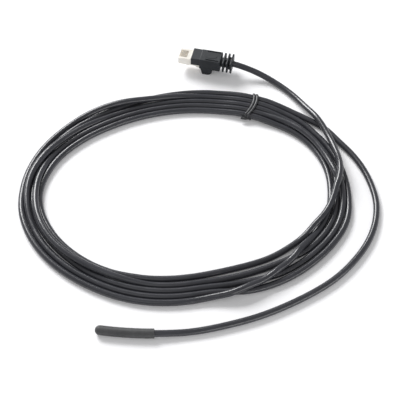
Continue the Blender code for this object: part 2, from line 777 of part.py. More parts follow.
def make_plug_cores(finish, frame):
    """The lead's two cores, from its jacket to the two middle contacts."""
    teeth_end = CONTACT_START + CONTACT_LENGTH
    for number, contact in ((1, 3), (2, CONTACT_COUNT - 2)):
        side = contact_side(contact)
        route = (
            (teeth_end + TOUCH_GAP, side, 0.0),
            (CABLE_ENTRY_START, side, 0.0),
            (JACKET_START - TOUCH_GAP, side, 0.0),
        )
        tube(f"plug_core_{number}", route, CORE_RADIUS, finish, frame, fineness=1)


def make_latch(finish, frame):
    """Release lever on its root under the nose: wide front, notched shoulders, narrow neck and end tab."""
    pivot = bpy.data.objects.new("latch_pivot", None)
    parts.objects.link(pivot)
    pivot.parent = frame
    pivot.location = (LATCH_PIVOT, 0.0, LATCH_PIVOT_HEIGHT)
    pivot.rotation_euler = (0.0, math.radians(LATCH_REST_ANGLE), 0.0)
    bpy.context.view_layer.update()
    taper = 1.2 * MM
    half_outline = (
        (0.0, LATCH_WIDTH / 2),
        (LATCH_SHOULDER, LATCH_WIDTH / 2),
        (LATCH_SHOULDER, LATCH_NECK_WIDTH / 2),
        (LATCH_TAB_START, LATCH_NECK_WIDTH / 2),
        (LATCH_TAB_START + taper, LATCH_TAB_WIDTH / 2),
        (LATCH_LENGTH - taper / 2, LATCH_TAB_WIDTH / 2),
        (LATCH_LENGTH, LATCH_TAB_WIDTH / 2 - taper / 2),
    )
    outline = list(half_outline) + [(along, -side) for along, side in reversed(half_outline)]
    bottom = -LATCH_ROOT_DIAMETER / 2
    latch = extruded("release_latch", outline, bottom, bottom + LATCH_THICKNESS, "Z", finish, pivot)
    latch.data.materials.append(finish)
    half = LATCH_WIDTH / 2
    root = rod(
        "latch_root", (0, -half, 0), (0, half, 0), LATCH_ROOT_DIAMETER / 2, LATCH_ROOT_DIAMETER / 2, parent=pivot
    )
    boolean(latch, root, "UNION")


def hood_outline():
    """Side view of the latch guard under the boot."""
    start = BOOT_START + HOOD_SETBACK
    bottom = BOOT_BOTTOM - HOOD_DEPTH
    inside = BOOT_BOTTOM + BOOT_EDGE_ROUND + 1.0 * MM
    flat_end = start + HOOD_FLAT_START + HOOD_FLAT_LENGTH
    end = start + HOOD_LENGTH
    outline = [(start, inside), (start, BOOT_BOTTOM), (start + HOOD_FLAT_START, bottom)]
    for k in range(7):
        share = k / 6
        rise = HOOD_DEPTH * (1 - math.sqrt(1 - share * share))
        outline.append((flat_end + (end - flat_end) * share, bottom + rise))
    outline += [(end, inside)]
    return outline


def make_boot(finish, frame):
    """Moulded boot: collar, body with grooves and grip pad, latch hood, and ribbed strain relief."""
    half = BOOT_WIDTH / 2
    top = BOOT_HEIGHT / 2
    past = 1.0 * MM
    join = 0.6 * MM
    boot = box(
        "boot", (BOOT_START, -half, BOOT_BOTTOM), (BOOT_BODY_END, half, top), finish, frame, BOOT_EDGE_ROUND
    )

    hood_half = half - HOOD_SIDE_SETBACK
    hood = extruded("latch_hood", hood_outline(), -hood_half, hood_half, "Y", None, frame)
    boolean(boot, hood, "UNION")

    side_wall = HOUSING_WIDTH / 2 + TOUCH_GAP
    collar_half = side_wall + COLLAR_WALL
    collar_top = HOUSING_REAR_TOP + TOUCH_GAP + COLLAR_WALL
    collar = box(
        "collar",
        (COLLAR_START, -collar_half, collar_top - COLLAR_SIDE_HEIGHT),
        (BOOT_START + join, collar_half, collar_top),
        parent=frame,
        bevel=COLLAR_WALL * 0.8,
    )
    boolean(boot, collar, "UNION")

    neck_start = BOOT_BODY_END - join
    neck = rod(
        "neck", (neck_start, 0, 0), (BOOT_END, 0, 0), NECK_DIAMETER / 2, NECK_END_DIAMETER / 2, parent=frame
    )
    boolean(boot, neck, "UNION")
    for number in range(RIB_COUNT):
        middle = BOOT_BODY_END + RIB_FIRST + number * RIB_PITCH
        rib = box(
            f"rib_{number + 1}",
            (middle - RIB_THICKNESS / 2, -half, BOOT_BOTTOM),
            (middle + RIB_THICKNESS / 2, half, top),
            parent=frame,
            bevel=BOOT_EDGE_ROUND * 0.8,
        )
        boolean(boot, rib, "UNION")
        if number:
            reach = top - BOOT_EDGE_ROUND if number % 2 else half - BOOT_EDGE_ROUND
            low = [middle - RIB_PITCH, -BRIDGE_WIDTH / 2, -BRIDGE_WIDTH / 2]
            high = [middle, BRIDGE_WIDTH / 2, BRIDGE_WIDTH / 2]
            axis = 2 if number % 2 else 1
            low[axis], high[axis] = -reach, reach
            bridge = box(f"bridge_{number + 1}", low, high, parent=frame)
            boolean(boot, bridge, "UNION")

    pad = rod("grip_pad", (0, 0, top - join), (0, 0, top + GRIP_PAD_RISE), 0.5, 0.5, parent=frame)
    pad.data.transform(Matrix.Diagonal((GRIP_PAD_LENGTH, GRIP_PAD_WIDTH, 1.0, 1.0)))
    pad.data.transform(Matrix.Translation((BOOT_START + BOOT_BODY_LENGTH / 2, 0, 0)))
    boolean(boot, pad, "UNION")

    groove_start = HOUSING_LENGTH + GROOVE_MARGIN
    for name, side in (("groove_near", -1), ("groove_far", 1)):
        outside = side * (half - GROOVE_SETBACK)
        inside = outside - side * GROOVE_WIDTH
        groove = box(
            name,
            (groove_start, min(outside, inside), top - GROOVE_DEPTH),
            (BOOT_BODY_END - GROOVE_MARGIN, max(outside, inside), top + past),
            parent=frame,
        )
        boolean(boot, groove, "DIFFERENCE")

    pocket = box(
        "housing_pocket",
        (COLLAR_START - past, -side_wall, HOUSING_UNDERSIDE - past / 2),
        (HOUSING_LENGTH + TOUCH_GAP, side_wall, HOUSING_REAR_TOP + TOUCH_GAP),
        parent=frame,
    )
    boolean(boot, pocket, "DIFFERENCE")
    bore = SLEEVE_BORE_RADIUS
    cable = rod("cable_bore", (BOOT_START, 0, 0), (BOOT_END + past, 0, 0), bore, bore, parent=frame)
    boolean(boot, cable, "DIFFERENCE")
    latch_room = LATCH_WIDTH / 2 + HOOD_WALL
    hollow = box(
        "hood_hollow",
        (BOOT_START - past, -latch_room, BOOT_BOTTOM - HOOD_DEPTH + HOOD_WALL),
        (BOOT_START + HOOD_POCKET_LENGTH, latch_room, HOUSING_UNDERSIDE + join),
        parent=frame,
    )
    boolean(boot, hollow, "DIFFERENCE")


def make_plug_lead(finish, frame):
    """The lead from the plug's cable entry, through the boot, down to the floor and up over the coil."""
    inside = [frame.matrix_world @ Vector((along, 0, 0)) for along in np.linspace(JACKET_START, BOOT_END, 5)]
    route = [tuple(place) for place in inside] + [tuple(value * MM for value in p) for p in PLUG_LEAD_POINTS]
    tube("plug_lead", spline_through(route, CORD_POINT_SPACING), CORD_RADIUS, finish, fineness=3)


def main():
    clear_scene()
    black_sleeve = material("sleeve_black", (0.045, 0.047, 0.05), 0.6)
    black_cord = material("cord_black", (0.028, 0.03, 0.033), 0.4)
    black_boot = material("boot_black", (0.03, 0.031, 0.034), 0.55)
    black_tie = material("tie_black", (0.03, 0.03, 0.032), 0.45)
    resin = material("resin_grey", (0.06, 0.06, 0.065), 0.35)
    glass_bead = material("bead_glass", (0.25, 0.12, 0.05), 0.2)
    tinned = material("leg_tinned", (0.6, 0.6, 0.58), 0.3, metallic=1.0)
    splice = material("splice_red", (0.3, 0.03, 0.02), 0.5)
    core = material("core_white", (0.7, 0.7, 0.68), 0.5)
    clear = material("plug_clear", (0.9, 0.88, 0.82), 0.08, transmission=0.85)
    gold = material("contact_gold", (0.7, 0.48, 0.18), 0.25, metallic=1.0)

    make_sleeve(black_sleeve)
    make_tip_resin(resin)
    make_bead(glass_bead)
    make_head_wiring(tinned, splice, core)
    make_probe_lead(black_cord)
    make_coil(black_cord)
    make_tie(black_tie)
    frame = make_plug_frame()
    make_housing(clear, frame)
    make_latch(clear, frame)
    make_contacts(gold, frame)
    make_plug_cores(core, frame)
    make_boot(black_boot, frame)
    make_plug_lead(black_cord, frame)


main()
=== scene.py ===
"""Temperature probe: the visible model, its materials, light and camera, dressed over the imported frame.

Metres, +Z up, in the frame's own coordinates: the origin is on the floor under the middle of the sensing
head. The coil is worked out in millimetres, in polar coordinates about its middle, with angles in degrees
from +X.
"""

import json
import math

import bmesh
import bpy
import numpy as np
from mathutils import Matrix, Vector

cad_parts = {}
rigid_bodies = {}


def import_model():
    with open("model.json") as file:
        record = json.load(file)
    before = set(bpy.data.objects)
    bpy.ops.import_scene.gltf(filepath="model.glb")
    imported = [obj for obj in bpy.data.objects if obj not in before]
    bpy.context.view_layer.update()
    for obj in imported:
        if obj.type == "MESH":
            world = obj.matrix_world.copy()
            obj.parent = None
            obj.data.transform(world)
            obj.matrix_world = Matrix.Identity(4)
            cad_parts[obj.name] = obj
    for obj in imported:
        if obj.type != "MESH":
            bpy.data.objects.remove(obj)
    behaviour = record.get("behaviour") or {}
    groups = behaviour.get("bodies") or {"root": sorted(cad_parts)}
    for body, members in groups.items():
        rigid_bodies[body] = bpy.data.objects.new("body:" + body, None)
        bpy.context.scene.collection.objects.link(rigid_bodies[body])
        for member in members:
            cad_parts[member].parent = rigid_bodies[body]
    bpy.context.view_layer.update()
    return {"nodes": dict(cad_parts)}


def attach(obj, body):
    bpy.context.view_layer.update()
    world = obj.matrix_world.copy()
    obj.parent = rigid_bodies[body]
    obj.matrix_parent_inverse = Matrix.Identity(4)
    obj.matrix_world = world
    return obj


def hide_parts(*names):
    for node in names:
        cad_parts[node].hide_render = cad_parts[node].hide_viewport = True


MM = 0.001

# Camera, at the photograph's viewing angle
CAMERA_PLACE = (0.09336, -0.49601, 0.74689)
CAMERA_AIM = (0.0432, 0.1287, 0.0)
CAMERA_LENS = 113.58
CAMERA_NEAR_LIMIT = 0.01
SENSOR_WIDTH = 36.0

# The sensing head, as the source of the part has it
HEAD_LENGTH = 42.4 * MM
HEAD_BEND_RADIUS = 250.0 * MM
HEAD_AXIS_HEIGHT = 3.55 * MM
JACKET_GRIP = 12.0 * MM

# The lead
CORD_DIAMETER = 5.0 * MM
CORD_RADIUS = CORD_DIAMETER / 2
CORD_POINT_SPACING = 2.8 * MM
CORD_BEVEL_RESOLUTION = 8
HEAD_ROUTE_POINTS = 4
PLUG_ROUTE_POINTS = 5

# Free stretches of the lead: points of its centre line in millimetres
PROBE_LEAD_POINTS = (
    (34.6, 2.3, 2.9),
    (45.1, 4.3, 2.5),
    (56.2, 7.1, 2.5),
    (73.8, 13.1, 2.5),
    (91.7, 20.5, 2.5),
    (109.9, 30.4, 2.5),
    (128.3, 42.7, 2.5),
    (147.5, 59.0, 2.5),
    (162.4, 77.9, 2.5),
    (173.3, 99.0, 2.5),
    (178.3, 120.0, 2.5),
    (178.4, 136.2, 2.5),
    (175.2, 151.4, 2.5),
    (168.9, 168.1, 2.5),
    (159.1, 184.4, 2.5),
    (147.2, 198.9, 2.5),
    (138.4, 209.0, 2.5),
)
PLUG_LEAD_POINTS = (
    (66.6, 269.0, 9.6),
    (80.6, 266.0, 5.9),
    (94.2, 259.7, 3.0),
    (112.8, 243.0, 2.9),
    (122.1, 230.4, 4.6),
    (131.2, 216.4, 7.4),
)
# Where the last turn climbs over the others on its way to the plug: (angle, distance from the middle)
CLIMB = (
    (12.1, 92.3),
    (15.6, 95.9),
    (21.8, 101.3),
    (27.6, 105.3),
    (35.0, 109.8),
    (43.3, 115.4),
    (52.0, 122.3),
)
# Its height there, and how it comes down a little over the last degrees of the climb
CLIMB_HEIGHT = 8.0
CLIMB_END_HEIGHT = 7.3
CLIMB_END_SPAN = 14
# The climb's hump is eased from this many degrees before +X, and fades in over this many steps
EASING_LEAD = 14
EASING_FADE = 4

# The coil in millimetres: (angle in degrees, inner and outer strand radius), counted from +X
COIL_CENTRE = (56.0, 120.0)
COIL_RIM = (
    (0, 85.0, 100.6),
    (8, 88.5, 102.0),
    (15, 91.0, 103.8),
    (30, 96.6, 107.6),
    (43, 100.2, 110.0),
    (51, 101.4, 111.8),
    (57, 101.4, 117.4),
    (75, 100.2, 119.8),
    (90, 101.3, 122.0),
    (105, 105.6, 124.4),
    (120, 110.6, 128.0),
    (135, 117.4, 137.4),
    (150, 127.1, 146.8),
    (165, 135.5, 151.9),
    (180, 136.8, 151.0),
    (195, 127.2, 144.2),
    (210, 112.8, 130.6),
    (225, 97.4, 117.0),
    (240, 81.6, 105.2),
    (255, 70.0, 94.0),
    (270, 62.5, 85.0),
    (285, 59.2, 83.0),
    (300, 59.6, 83.2),
    (315, 62.9, 85.8),
    (330, 66.4, 89.9),
    (345, 73.8, 95.5),
)
# Each turn's place at some angles, as (angle, lane, layer): lane 0 is at the bundle's outer rim and the
# last lane at its inner rim; layer 0 lies on the floor and layer 1 on other turns
LAST_LANE = 4
TURN_LANES = (
    ((52, 0, 0), (112, 0, 0), (124, 0.5, 0), (138, 1, 0), (150, 1.3, 0), (172, 1.6, 0), (190, 2.4, 0),
     (208, 2.9, 0), (226, 2.3, 0), (240, 1.9, 0), (257, 1.85, 0), (270, 1.8, 0), (284, 1.75, 0),
     (298, 1.5, 0), (308, 1.15, 0), (320, 1.1, 0), (332, 1.15, 0), (345, 1.25, 0), (356, 1.25, 0.1),
     (366, 1.45, 0.6), (374, 1.9, 1), (382, 2.4, 1), (392, 3, 1), (411, 3, 1)),
    ((52, 3, 1), (58, 3, 0.9), (70, 3, 0), (150, 3, 0), (172, 2.8, 0), (184, 2.6, 0.6), (200, 2.4, 1),
     (216, 2.7, 0.6), (228, 2.9, 0), (240, 2.82, 0), (257, 2.75, 0), (276, 2.68, 0), (300, 2.75, 0),
     (314, 2.82, 0), (322, 2.6, 0), (330, 2.3, 0), (338, 2.15, 0), (360, 2.1, 0), (390, 2, 0), (411, 2, 0)),
    ((52, 2, 0), (60, 2.2, 0), (66, 2.2, 0), (74, 2, 0), (140, 2, 0), (156, 1.8, 0.7), (170, 1.2, 1),
     (186, 1.1, 0.6), (200, 1, 0), (272, 0.91, 0), (288, 0.2, 0), (298, 0.05, 0), (315, 0.05, 0),
     (330, 0.2, 0), (345, 0.15, 0), (360, 0, 0), (390, 0, 0), (402, -0.4, 0), (411, -0.7, 0)),
    ((52, -0.3, 0), (58, 0.8, 0), (64, 1.1, 0), (72, 1, 0), (98, 1, 0.2), (108, 1.05, 1), (120, 1.0, 1),
     (125, 0.9, 1), (130, 0.75, 1), (135, 0.45, 1), (140, 0.25, 0.9), (148, 0.05, 0.5), (158, 0, 0),
     (278, 0, 0), (284, 0.1, 0.5), (290, 0.3, 1), (298, 0.6, 1), (305, 1, 1), (312, 1.45, 1), (320, 1.9, 1),
     (328, 2.3, 1), (336, 2.7, 1), (343, 3.0, 0.7), (350, 3.25, 0.3), (357, 3.45, 0), (372, 4, 0),
     (411, 4, 0)),
    ((52, 4, 0), (335, 4, 0), (346, 4.05, 0.6), (356, 4, 1), (364, 3.85, 1), (372, 3.5, 1)),
)
COIL_FIRST_ANGLE = 52
COIL_STEP = 2
CLIMB_EASING = 2
# Where the lead from the head comes in beside the first turn: (angle, distance from the middle)
JOINING_RADII = ((52, 120.5), (57, 119.5), (62, 119.2), (75, 120.4))

# How the turns settle in each round: they sink, are drawn to their lanes, smoothed and pushed a pitch apart
SETTLE_ROUNDS = 600
SETTLE_SINK = 0.06
SETTLE_PULL = 0.04
SETTLE_SMOOTHING = 0.35
SETTLE_WIDE_SMOOTHING = 0.2
SETTLE_PUSHES = 3
STRAND_PITCH = 5.06
RIM_SLACK = 0.4

# The tie round the coil: its strip, its turns and their bow, its twisted ends, and how it lifts the bundle
TIE_ANGLE = 78.9
TIE_SLANT = 1.2
TIE_WIDTH = 2.0 * MM
TIE_THICKNESS = 1.0 * MM
TIE_GAP = 0.3 * MM
TIE_REACH = CORD_RADIUS + TIE_GAP + TIE_THICKNESS / 2
TIE_STRIP_POINTS = 11
TIE_WIRE = 0.36
TIE_WIRE_REACH = 0.24
TIE_RIBBON = 0.27
TIE_TURNS = 2
TIE_TURN_RINGS = 120
TIE_PITCH = 2.35 * MM
TIE_BOW = 2.8 * MM
TIE_PATH_STEP = 2
TIE_LOOK_AHEAD = 0.3 * MM
TIE_TAIL_LENGTH = 5.4 * MM
TIE_TAIL_SHIFT = 2.7 * MM
TIE_TAIL_LEAN = 0.6 * MM
TIE_TAIL_THICKNESS = 2.1 * MM
TIE_TAIL_RINGS = 40
TIE_TAIL_TWIST = 540
TIE_TAIL_NARROWING = 0.9
TIE_TAIL_SPACING = 0.45
TIE_LIFT = 1.3
TIE_LIFT_FLAT = 4.7
TIE_LIFT_FADE = 26.0

# The modular plug, from its nose to the end of its boot
PLUG_NOSE = (14.3 * MM, 276.9 * MM, 10.8 * MM)
PLUG_HEADING = math.radians(-8.5)
JACKET_START = 11.4 * MM
BOOT_END = 45.7 * MM
CONTACTS = tuple(f"contact_{number}" for number in range(1, 9))

# Light: each lamp's name, place, width and height, and watts
LIGHTS = (
    ("key_behind", (-1.81, 2.68, 2.46), (2.2, 1.5), 175.0),
    ("low_front", (1.54, -1.13, 0.32), (2.4, 0.5), 18.0),
    ("fill_front", (-0.4, -1.2, 1.6), (1.2, 1.0), 3.0),
)
LIGHTS_AIM = (0.04, 0.13, 0.0)
WORLD_LEVEL = 0.39
WHITE = (1.0, 1.0, 1.0, 1.0)

# The floor
FLOOR_HALF = 3.0
FLOOR_HEIGHT = -0.03 * MM
FLOOR_COLOUR = (0.95, 0.95, 0.965, 1.0)
FLOOR_ROUGHNESS = 0.9
FLOOR_GLOW = 0.08

# The noise of the finishes, and the parts of its range that are spread over a roughness and over colours
NOISE_ROUGHNESS = 0.55
NOISE_RANGE = (0.25, 0.75)
RAMP_RANGE = (0.3, 0.7)


def clear_scene():
    for old in list(bpy.data.objects):
        bpy.data.objects.remove(old)


def spline_through(points, spacing):
    """Evenly spaced points on a natural cubic spline through the given points."""
    known = np.array(points, float)
    knots = np.concatenate([[0.0], np.cumsum(np.linalg.norm(np.diff(known, axis=0), axis=1))])
    gaps = np.diff(knots)
    count = len(known)
    system = np.eye(count)
    target = np.zeros_like(known)
    for k in range(1, count - 1):
        system[k, k - 1 : k + 2] = gaps[k - 1], 2 * (gaps[k - 1] + gaps[k]), gaps[k]
        target[k] = 6 * ((known[k + 1] - known[k]) / gaps[k] - (known[k] - known[k - 1]) / gaps[k - 1])
    bend = np.linalg.solve(system, target)
    places = np.linspace(0.0, knots[-1], max(2, round(knots[-1] / spacing) + 1))
    spans = np.clip(np.searchsorted(knots, places) - 1, 0, count - 2)
    after = ((places - knots[spans]) / gaps[spans])[:, None]
    before = 1 - after
    width = gaps[spans][:, None] ** 2 / 6
    curved = (before**3 - before) * bend[spans] + (after**3 - after) * bend[spans + 1]
    return before * known[spans] + after * known[spans + 1] + width * curved


def head_point(along):
    """A point on the bent head's axis; along counts from the tip."""
    turn = (along - HEAD_LENGTH / 2) / HEAD_BEND_RADIUS
    sagitta = HEAD_BEND_RADIUS * (1 - math.cos(HEAD_LENGTH / HEAD_BEND_RADIUS / 2))
    return (
        HEAD_BEND_RADIUS * math.sin(turn),
        HEAD_BEND_RADIUS * (1 - math.cos(turn)) - sagitta / 2,
        HEAD_AXIS_HEIGHT,
    )


def plug_point(along, side=0.0, up=0.0):
    """A point of the plug, counted from its nose along its axis to the lead."""
    turn = Matrix.Rotation(PLUG_HEADING, 3, "Z")
    return Vector(PLUG_NOSE) + turn @ Vector((along, side, up))


def rim_at(angle):
    """The coil's inner and outer strand radius at an angle in degrees, in millimetres."""
    table = np.array(COIL_RIM, float)
    table = np.vstack([table[-2:] - (360, 0, 0), table, table[:2] + (360, 0, 0)])
    angle %= 360
    k = int(np.clip(np.searchsorted(table[:, 0], angle, side="right") - 1, 1, len(table) - 3))
    share = (angle - table[k, 0]) / (table[k + 1, 0] - table[k, 0])
    radii = []
    for column in (1, 2):
        before, here, there, after = table[k - 1 : k + 3, column]
        steps = np.diff(table[k - 1 : k + 3, 0])
        rise_here = (there - before) / (steps[0] + steps[1]) * steps[1]
        rise_there = (after - here) / (steps[1] + steps[2]) * steps[1]
        radii.append(
            here * (2 * share**3 - 3 * share**2 + 1)
            + rise_here * (share**3 - 2 * share**2 + share)
            + there * (3 * share**2 - 2 * share**3)
            + rise_there * (share**3 - share**2)
        )
    return radii


class Coil:
    """The turns of the lead, laid in their lanes and then settled against each other, in millimetres."""

    def __init__(self):
        last = COIL_FIRST_ANGLE + 360 * len(TURN_LANES)
        self.angles = np.arange(COIL_FIRST_ANGLE, last + 1, COIL_STEP, dtype=float)
        self.inner, self.outer = np.array([rim_at(angle) for angle in self.angles]).T
        self.lay_in_lanes()
        self.settle()
        self.ease_climb()

    def lay_in_lanes(self):
        angles = self.angles
        lanes, layers = np.zeros(len(angles)), np.zeros(len(angles))
        for turn, stations in enumerate(TURN_LANES):
            where, lane, layer = np.array(stations, float).T
            here = angles >= COIL_FIRST_ANGLE + 360 * turn
            lanes[here] = np.interp(angles[here], where + 360 * turn, lane)
            layers[here] = np.interp(angles[here], where + 360 * turn, layer)
        self.radii = self.outer - lanes * (self.outer - self.inner) / LAST_LANE
        self.heights = CORD_RADIUS / MM * (1 + 2 * layers)
        joining = angles < JOINING_RADII[-1][0]
        self.radii[joining] = np.interp(angles[joining], *np.array(JOINING_RADII, float).T)
        climb = np.array(CLIMB, float)
        climb[:, 0] += 360 * len(TURN_LANES)
        climbing = angles > climb[0, 0]
        self.radii[climbing] = np.interp(angles[climbing], *climb.T)
        descent = (climb[-1, 0] - CLIMB_END_SPAN, climb[-1, 0])
        self.heights[climbing] = np.interp(angles[climbing], descent, (CLIMB_HEIGHT, CLIMB_END_HEIGHT))
        self.held = climbing | joining

    def floor_heights(self):
        """How low a strand may lie: on the floor, or on the tie's lower wall where it holds the bundle."""
        away = np.abs((self.angles - TIE_ANGLE + 180) % 360 - 180)
        distance = np.radians(away) * (self.inner + self.outer) / 2
        fade = np.clip((distance - TIE_LIFT_FLAT) / TIE_LIFT_FADE, 0, 1)
        return CORD_RADIUS / MM + TIE_LIFT * (1 - fade * fade * (3 - 2 * fade))

    def settle(self):
        """Lets the turns sink on each other and spread to a strand's width apart, as a slack coil does."""
        radii, heights = self.radii.copy(), self.heights.copy()
        lanes, count = self.radii.copy(), len(self.angles)
        floor = self.floor_heights()
        turn = 360 // COIL_STEP
        middle = (self.inner + self.outer) / 2
        lean = 1 / np.sqrt(1 + (np.gradient(middle, math.radians(COIL_STEP)) / middle) ** 2)
        for _ in range(SETTLE_ROUNDS):
            heights[2:-2] -= SETTLE_SINK
            radii += (lanes - radii) * SETTLE_PULL
            for value in (radii, heights):
                value[1:-1] += SETTLE_SMOOTHING * ((value[:-2] + value[2:]) / 2 - value[1:-1])
                value[2:-2] += SETTLE_WIDE_SMOOTHING * ((value[:-4] + value[4:]) / 2 - value[2:-2])
            for _ in range(SETTLE_PUSHES):
                for apart in range(1, len(TURN_LANES) + 1):
                    first, second = slice(0, count - turn * apart), slice(turn * apart, count)
                    across = (radii[second] - radii[first]) * lean[first]
                    up = heights[second] - heights[first]
                    between = np.hypot(across, up) + 1e-9
                    push = np.maximum(0.0, STRAND_PITCH - between) / 2 / between
                    radii[first] -= push * across / lean[first]
                    radii[second] += push * across / lean[first]
                    heights[first] -= push * up
                    heights[second] += push * up
                heights = np.maximum(heights, floor)
            low, high = self.inner - RIM_SLACK, self.outer + RIM_SLACK
            radii = np.where(radii < low, (radii + low) / 2, radii)
            radii = np.where(radii > high, (radii + high) / 2, radii)
            radii[self.held] = self.radii[self.held]
            for end in (slice(0, 2), slice(-2, None)):
                heights[end] = self.heights[end]
        self.radii, self.heights = radii, heights

    def ease_climb(self):
        """Spreads the climb's hump so that the stiff lead bridges the turns under it without a kink."""
        start = int((360 * len(TURN_LANES) - EASING_LEAD - COIL_FIRST_ANGLE) / COIL_STEP)
        climb = self.heights[start:]
        near = range(-CLIMB_EASING, CLIMB_EASING + 1)
        padded = np.pad(climb, CLIMB_EASING, mode="edge")
        raised = np.max([padded[CLIMB_EASING + k : CLIMB_EASING + k + len(climb)] for k in near], axis=0)
        weights = np.hanning(2 * CLIMB_EASING + 3)[1:-1]
        padded = np.pad(raised, CLIMB_EASING, mode="edge")
        eased = np.convolve(padded, weights / weights.sum(), mode="valid")
        share = np.clip(np.arange(len(climb)) / EASING_FADE, 0, 1)
        self.heights[start:] = climb + share * (eased - climb)

    def centre_line(self):
        turned = np.radians(self.angles)
        across = COIL_CENTRE[0] + self.radii * np.cos(turned)
        along = COIL_CENTRE[1] + self.radii * np.sin(turned)
        return np.column_stack([across, along, self.heights]) * MM

    def strands_at(self, angle):
        """(radius, height) of each strand of the bundle at an angle, in millimetres."""
        found = []
        for turn in range(len(TURN_LANES)):
            here = angle + 360 * turn
            radius = np.interp(here, self.angles, self.radii)
            found.append((radius, np.interp(here, self.angles, self.heights)))
        return np.array(found)


def make_cord(coil, finish):
    """The whole lead as one curve: out of the head, round the coil, over its turns and into the plug."""
    in_head = np.linspace(HEAD_LENGTH - JACKET_GRIP, HEAD_LENGTH, HEAD_ROUTE_POINTS)
    in_boot = np.linspace(BOOT_END, JACKET_START, PLUG_ROUTE_POINTS)
    route = [head_point(along) for along in in_head]
    route += [tuple(value * MM for value in point) for point in PROBE_LEAD_POINTS]
    route += [tuple(point) for point in coil.centre_line()]
    # The last of the plug lead's points is left out, since the coil's climb ends there
    route += [tuple(value * MM for value in point) for point in reversed(PLUG_LEAD_POINTS[:-1])]
    route += [tuple(plug_point(along)) for along in in_boot]
    points = spline_through(route, CORD_POINT_SPACING)
    curve = bpy.data.curves.new("lead", "CURVE")
    curve.dimensions = "3D"
    curve.bevel_depth = CORD_RADIUS
    curve.bevel_resolution = CORD_BEVEL_RESOLUTION
    curve.use_fill_caps = True
    spline = curve.splines.new("POLY")
    spline.points.add(len(points) - 1)
    for point, place in zip(spline.points, points):
        point.co = (*place, 1.0)
    spline.use_smooth = True
    lead = bpy.data.objects.new("lead", curve)
    bpy.context.scene.collection.objects.link(lead)
    curve.materials.append(finish)
    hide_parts("probe_lead", "coil", "plug_lead")
    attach(lead, "probe")
    return lead


def loft(name, rings):
    """A smooth skin over rings of points, with filled ends."""
    bm = bmesh.new()
    rows = [[bm.verts.new(point) for point in ring] for ring in rings]
    size = len(rings[0])
    for row, after in zip(rows, rows[1:]):
        for k in range(size):
            bm.faces.new((row[k], row[(k + 1) % size], after[(k + 1) % size], after[k]))
    bm.faces.new(rows[0][::-1])
    bm.faces.new(rows[-1])
    bmesh.ops.recalc_face_normals(bm, faces=bm.faces)
    mesh = bpy.data.meshes.new(name)
    bm.to_mesh(mesh)
    bm.free()
    for polygon in mesh.polygons:
        polygon.use_smooth = True
    made = bpy.data.objects.new(name, mesh)
    bpy.context.scene.collection.objects.link(made)
    return made


def strip_profile(width, thickness):
    """Section of the tie's strip: a flat ribbon with round edges and the swelling of its wire."""
    outline = []
    wire = thickness * TIE_WIRE
    flat = thickness * TIE_RIBBON
    for side in (1, -1):
        for share in np.linspace(-0.5, 0.5, TIE_STRIP_POINTS):
            place = side * share * width
            edge = max(0.0, 1 - (2 * abs(share)) ** 6)
            swelling = math.exp(-((share / TIE_WIRE_REACH) ** 2))
            outline.append((place, side * (flat * math.sqrt(edge) + wire * swelling * 0.5)))
    return outline


def tie_path(centres):
    """The closed line of the tie's middle round the strands, as places across the bundle and up."""
    path = []
    for step in range(360 // TIE_PATH_STEP):
        facing = math.radians(180 + TIE_PATH_STEP * step)
        outward = np.array((math.cos(facing), math.sin(facing)))
        path.append(centres[np.argmax(centres @ outward)] + TIE_REACH * outward)
    return np.array(path + path[:1])


def wind_tie(coil, path):
    """Rings of the strip that is wound round the strands, slanted, and bowed along the coil on top."""
    walked = np.concatenate([[0.0], np.cumsum(np.linalg.norm(np.diff(path, axis=0), axis=1))])
    slope = math.tan(math.radians(TIE_SLANT))
    width, top = np.ptp(path[:, 0]), path[:, 1].max()

    def place_at(gone):
        return np.array([np.interp(gone, walked, path[:, axis]) for axis in (0, 1)])

    rings = []
    for step in range(TIE_TURN_RINGS * TIE_TURNS + 1):
        gone = (step % TIE_TURN_RINGS) / TIE_TURN_RINGS * walked[-1]
        here = place_at(gone)
        ahead = place_at((gone + TIE_LOOK_AHEAD) % walked[-1])
        behind = place_at((gone - TIE_LOOK_AHEAD) % walked[-1])
        heading = (ahead - behind) / np.linalg.norm(ahead - behind)
        outward = np.array((heading[1], -heading[0]))
        risen = max(0.0, (here[1] - TIE_REACH) / (top - TIE_REACH))
        bow = TIE_BOW * risen * (1 - (2 * here[0] / width) ** 2)
        shift = (step / TIE_TURN_RINGS - TIE_TURNS / 2) * TIE_PITCH - slope * here[0] - bow
        ring = []
        for place, rise in strip_profile(TIE_WIDTH, TIE_THICKNESS):
            spot = here + outward * rise
            ring.append(beside_coil(coil, shift + place, spot[0], spot[1]))
        rings.append(ring)
    return rings


def twist_tie_end(coil, half, wall, height):
    """Rings of one of the tie's two ends, twisted about the other against the coil's inner wall."""
    slope = math.tan(math.radians(TIE_SLANT))
    rings = []
    for step in range(TIE_TAIL_RINGS + 1):
        turned = math.radians(TIE_TAIL_TWIST) * step / TIE_TAIL_RINGS
        lean = TIE_TAIL_THICKNESS / 2 + TIE_TAIL_LEAN * step / TIE_TAIL_RINGS
        shift = (step / TIE_TAIL_RINGS - 0.5) * TIE_TAIL_LENGTH + TIE_TAIL_SHIFT - slope * wall
        ring = []
        for place, rise in strip_profile(TIE_WIDTH * TIE_TAIL_NARROWING, TIE_THICKNESS):
            rise += half * TIE_THICKNESS * TIE_TAIL_SPACING
            across = place * math.cos(turned) - rise * math.sin(turned)
            up = place * math.sin(turned) + rise * math.cos(turned)
            ring.append(beside_coil(coil, shift, wall - lean + across, height + up))
        rings.append(ring)
    return rings


